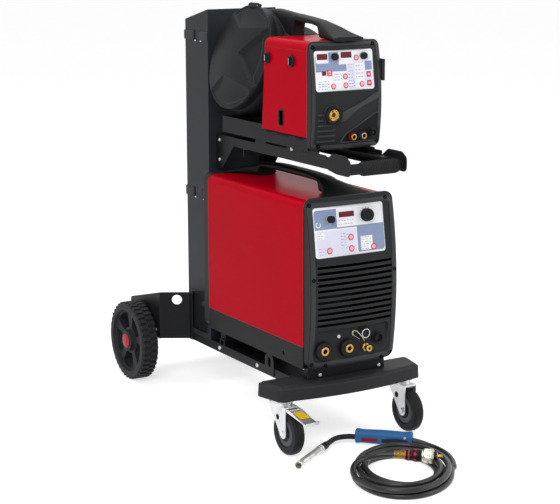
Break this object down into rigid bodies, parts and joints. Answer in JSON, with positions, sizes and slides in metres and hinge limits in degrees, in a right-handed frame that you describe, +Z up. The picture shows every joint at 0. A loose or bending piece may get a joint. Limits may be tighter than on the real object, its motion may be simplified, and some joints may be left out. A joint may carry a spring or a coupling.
{
  "type": "mig welder on cart",
  "caption": "Mobile MIG welding set: power source on a wheeled bottle cart, wire feeder with spool drum on a shelf above, and a torch with its coiled lead.",
  "frame": {"origin": "on the floor under the middle of the set without its lead, coil and plug: halfway between the two rear wheels and halfway from the torch nozzle to the backs of the rear wheels", "axes": "+Z up; +Y to the rear, from the control panels towards the bottle platform; +X to the machine's left-hand side as seen from the front, which is the right in a front view"},
  "size_m": [0.5336, 1.5046, 1.2146],
  "materials": {
    "frame_paint": "satin powder coat",
    "tray_paint": "satin powder coat",
    "column_paint": "fine-textured powder coat",
    "strap_web": "woven webbing",
    "bright_steel": "ground steel",
    "wheel_tyre": "moulded, dull",
    "cap_red": "gloss",
    "zinc": "zinc plated",
    "caster_rubber": "dull",
    "grip_rubber": "ribbed rubber",
    "skirt_paint": "satin powder coat",
    "cover_red": "glossy baked enamel",
    "front_plastic": "fine-textured moulding",
    "panel_print": "printed film",
    "handle_plastic": "satin moulding",
    "display_red": "smoked red window",
    "socket_brass": "turned brass",
    "knob_plastic": "satin",
    "key_plastic": "satin",
    "drum_plastic": "satin moulding",
    "copper_wire": "copper-coated wire",
    "drive_metal": "cast",
    "nozzle_metal": "nickel plated",
    "torch_blue": "satin moulding",
    "trigger_red": "gloss",
    "cable_rubber": "satin sheath",
    "plug_metal": "nickel and brass"
  },
  "bodies": {
    "cart": {"chassis_rails": "frame_paint", "rear_frame": "frame_paint", "front_tray": "tray_paint", "column": "column_paint", "bottle_straps": "strap_web", "rear_axle": "bright_steel", "axle_caps": "cap_red", "caster_plates": "zinc", "shelf_frame": "frame_paint", "handle_grip": "grip_rubber", "source_chassis": "skirt_paint", "source_cover": "cover_red", "source_front": "front_plastic", "source_rear": "front_plastic", "source_panel": "panel_print", "source_handle": "handle_plastic", "displays": "display_red", "source_sockets": "socket_brass", "feeder_chassis": "skirt_paint", "feeder_cover": "cover_red", "feeder_front": "front_plastic", "feeder_panel": "panel_print", "euro_socket": "socket_brass", "water_couplings": "socket_brass", "spool_housing": "drum_plastic", "wire_drive": "drive_metal", "torch_neck": "nozzle_metal", "torch_handle": "torch_blue", "torch_lead": "cable_rubber", "torch_coil": "cable_rubber", "euro_plug": "plug_metal"},
    "caster_left": {"caster_fork_left": "zinc"},
    "caster_right": {"caster_fork_right": "zinc"},
    "rear_wheel_left": {"rear_wheel_left": "wheel_tyre"},
    "rear_wheel_right": {"rear_wheel_right": "wheel_tyre"},
    "brake_pedal": {"brake_pedal": "zinc"},
    "source_knob_small": {"source_knob_small": "knob_plastic"},
    "source_knob_large": {"source_knob_large": "knob_plastic"},
    "source_button_1": {"source_button_1": "key_plastic"},
    "source_button_2": {"source_button_2": "key_plastic"},
    "source_button_3": {"source_button_3": "key_plastic"},
    "source_button_4": {"source_button_4": "key_plastic"},
    "main_switch": {"main_switch": "knob_plastic"},
    "feeder_door": {"feeder_door": "cover_red"},
    "latch_front": {"latch_front": "knob_plastic"},
    "latch_rear": {"latch_rear": "knob_plastic"},
    "feeder_knob_left": {"feeder_knob_left": "knob_plastic"},
    "feeder_knob_right": {"feeder_knob_right": "knob_plastic"},
    "feeder_button_1": {"feeder_button_1": "key_plastic"},
    "feeder_button_2": {"feeder_button_2": "key_plastic"},
    "feeder_button_3": {"feeder_button_3": "key_plastic"},
    "feeder_button_4": {"feeder_button_4": "key_plastic"},
    "feeder_button_5": {"feeder_button_5": "key_plastic"},
    "spool_lid": {"spool_lid": "drum_plastic"},
    "wire_spool": {"wire_spool": "copper_wire"},
    "feed_roll": {"feed_roll": "bright_steel"},
    "pressure_arm": {"pressure_arm": "drive_metal"},
    "torch_trigger": {"torch_trigger": "trigger_red"},
    "caster_wheel_left": {"caster_wheel_left": "caster_rubber"},
    "caster_wheel_right": {"caster_wheel_right": "caster_rubber"}
  },
  "joints": [
    {"name": "rear_wheel_left_roll", "type": "hinge", "parent": "cart", "child": "rear_wheel_left", "pos_m": [-0.234, 0.46164, 0.125], "axis": [1, 0, 0], "continuous": true},
    {"name": "rear_wheel_right_roll", "type": "hinge", "parent": "cart", "child": "rear_wheel_right", "pos_m": [0.234, 0.46164, 0.125], "axis": [1, 0, 0], "continuous": true},
    {"name": "caster_left_swivel", "type": "hinge", "parent": "cart", "child": "caster_left", "pos_m": [-0.2, -0.40636, 0.141], "axis": [0, 0, 1], "continuous": true},
    {"name": "caster_right_swivel", "type": "hinge", "parent": "cart", "child": "caster_right", "pos_m": [0.2, -0.40636, 0.141], "axis": [0, 0, 1], "continuous": true},
    {"name": "caster_left_roll", "type": "hinge", "parent": "caster_left", "child": "caster_wheel_left", "pos_m": [-0.2, -0.44136, 0.0625], "axis": [1, 0, 0], "continuous": true},
    {"name": "caster_right_roll", "type": "hinge", "parent": "caster_right", "child": "caster_wheel_right", "pos_m": [0.2, -0.44136, 0.0625], "axis": [1, 0, 0], "continuous": true},
    {"name": "brake_press", "type": "hinge", "parent": "caster_left", "child": "brake_pedal", "pos_m": [-0.2, -0.43036, 0.1305], "axis": [1, 0, 0], "range_deg": [0, 10], "stiffness_Nm_per_rad": 2, "springref_deg": -20.05},
    {"name": "source_small_knob_turn", "type": "hinge", "parent": "cart", "child": "source_knob_small", "pos_m": [-0.07, -0.44416, 0.64708], "axis": [0, -0.9894, 0.145], "range_deg": [-135, 135]},
    {"name": "source_large_knob_turn", "type": "hinge", "parent": "cart", "child": "source_knob_large", "pos_m": [0.048, -0.44387, 0.64906], "axis": [0, -0.9894, 0.145], "range_deg": [-135, 135]},
    {"name": "source_button_1_press", "type": "slide", "parent": "cart", "child": "source_button_1", "axis": [0, 0.9894, -0.145], "range_m": [0, 0.001], "stiffness_N_per_m": 300, "springref_m": -0.001},
    {"name": "source_button_2_press", "type": "slide", "parent": "cart", "child": "source_button_2", "axis": [0, 0.9894, -0.145], "range_m": [0, 0.001], "stiffness_N_per_m": 300, "springref_m": -0.001},
    {"name": "source_button_3_press", "type": "slide", "parent": "cart", "child": "source_button_3", "axis": [0, 0.9894, -0.145], "range_m": [0, 0.001], "stiffness_N_per_m": 300, "springref_m": -0.001},
    {"name": "source_button_4_press", "type": "slide", "parent": "cart", "child": "source_button_4", "axis": [0, 0.9894, -0.145], "range_m": [0, 0.001], "stiffness_N_per_m": 300, "springref_m": -0.001},
    {"name": "main_switch_turn", "type": "hinge", "parent": "cart", "child": "main_switch", "pos_m": [0.075, 0.15664, 0.63], "axis": [0, 1, 0], "range_deg": [0, 90]},
    {"name": "feeder_door_swing", "type": "hinge", "parent": "cart", "child": "feeder_door", "pos_m": [-0.1148, -0.27336, 0.864], "axis": [0, -1, 0], "range_deg": [0, 100]},
    {"name": "latch_front_turn", "type": "hinge", "parent": "feeder_door", "child": "latch_front", "pos_m": [-0.115, -0.31836, 1.072], "axis": [-1, 0, 0], "range_deg": [0, 90]},
    {"name": "latch_rear_turn", "type": "hinge", "parent": "feeder_door", "child": "latch_rear", "pos_m": [-0.115, -0.19036, 1.072], "axis": [-1, 0, 0], "range_deg": [0, 90]},
    {"name": "feeder_left_knob_turn", "type": "hinge", "parent": "cart", "child": "feeder_knob_left", "pos_m": [-0.036, -0.40841, 1.08604], "axis": [0, -0.9917, 0.1286], "range_deg": [-135, 135]},
    {"name": "feeder_right_knob_turn", "type": "hinge", "parent": "cart", "child": "feeder_knob_right", "pos_m": [0.058, -0.40854, 1.08505], "axis": [0, -0.9917, 0.1286], "range_deg": [-135, 135]},
    {"name": "feeder_button_1_press", "type": "slide", "parent": "cart", "child": "feeder_button_1", "axis": [0, 0.9917, -0.1286], "range_m": [0, 0.001], "stiffness_N_per_m": 300, "springref_m": -0.001},
    {"name": "feeder_button_2_press", "type": "slide", "parent": "cart", "child": "feeder_button_2", "axis": [0, 0.9917, -0.1286], "range_m": [0, 0.001], "stiffness_N_per_m": 300, "springref_m": -0.001},
    {"name": "feeder_button_3_press", "type": "slide", "parent": "cart", "child": "feeder_button_3", "axis": [0, 0.9917, -0.1286], "range_m": [0, 0.001], "stiffness_N_per_m": 300, "springref_m": -0.001},
    {"name": "feeder_button_4_press", "type": "slide", "parent": "cart", "child": "feeder_button_4", "axis": [0, 0.9917, -0.1286], "range_m": [0, 0.001], "stiffness_N_per_m": 300, "springref_m": -0.001},
    {"name": "feeder_button_5_press", "type": "slide", "parent": "cart", "child": "feeder_button_5", "axis": [0, 0.9917, -0.1286], "range_m": [0, 0.001], "stiffness_N_per_m": 300, "springref_m": -0.001},
    {"name": "spool_lid_swing", "type": "hinge", "parent": "cart", "child": "spool_lid", "pos_m": [-0.05087, -0.00436, 1.21108], "axis": [0, 1, 0], "range_deg": [0, 90]},
    {"name": "wire_spool_turn", "type": "hinge", "parent": "cart", "child": "wire_spool", "pos_m": [-0.1, -0.00436, 1.05986], "axis": [-0.9511, 0, 0.309], "continuous": true},
    {"name": "feed_roll_turn", "type": "hinge", "parent": "cart", "child": "feed_roll", "pos_m": [-0.049, -0.29836, 0.9109], "axis": [1, 0, 0], "continuous": true},
    {"name": "pressure_arm_swing", "type": "hinge", "parent": "cart", "child": "pressure_arm", "pos_m": [-0.049, -0.24636, 0.96], "axis": [-1, 0, 0], "range_deg": [0, 60]},
    {"name": "torch_trigger_press", "type": "hinge", "parent": "cart", "child": "torch_trigger", "pos_m": [0.04663, -0.50721, 0.018], "axis": [0, 0, -1], "range_deg": [0, 6], "stiffness_Nm_per_rad": 0.3, "springref_deg": -5.73}
  ]
}
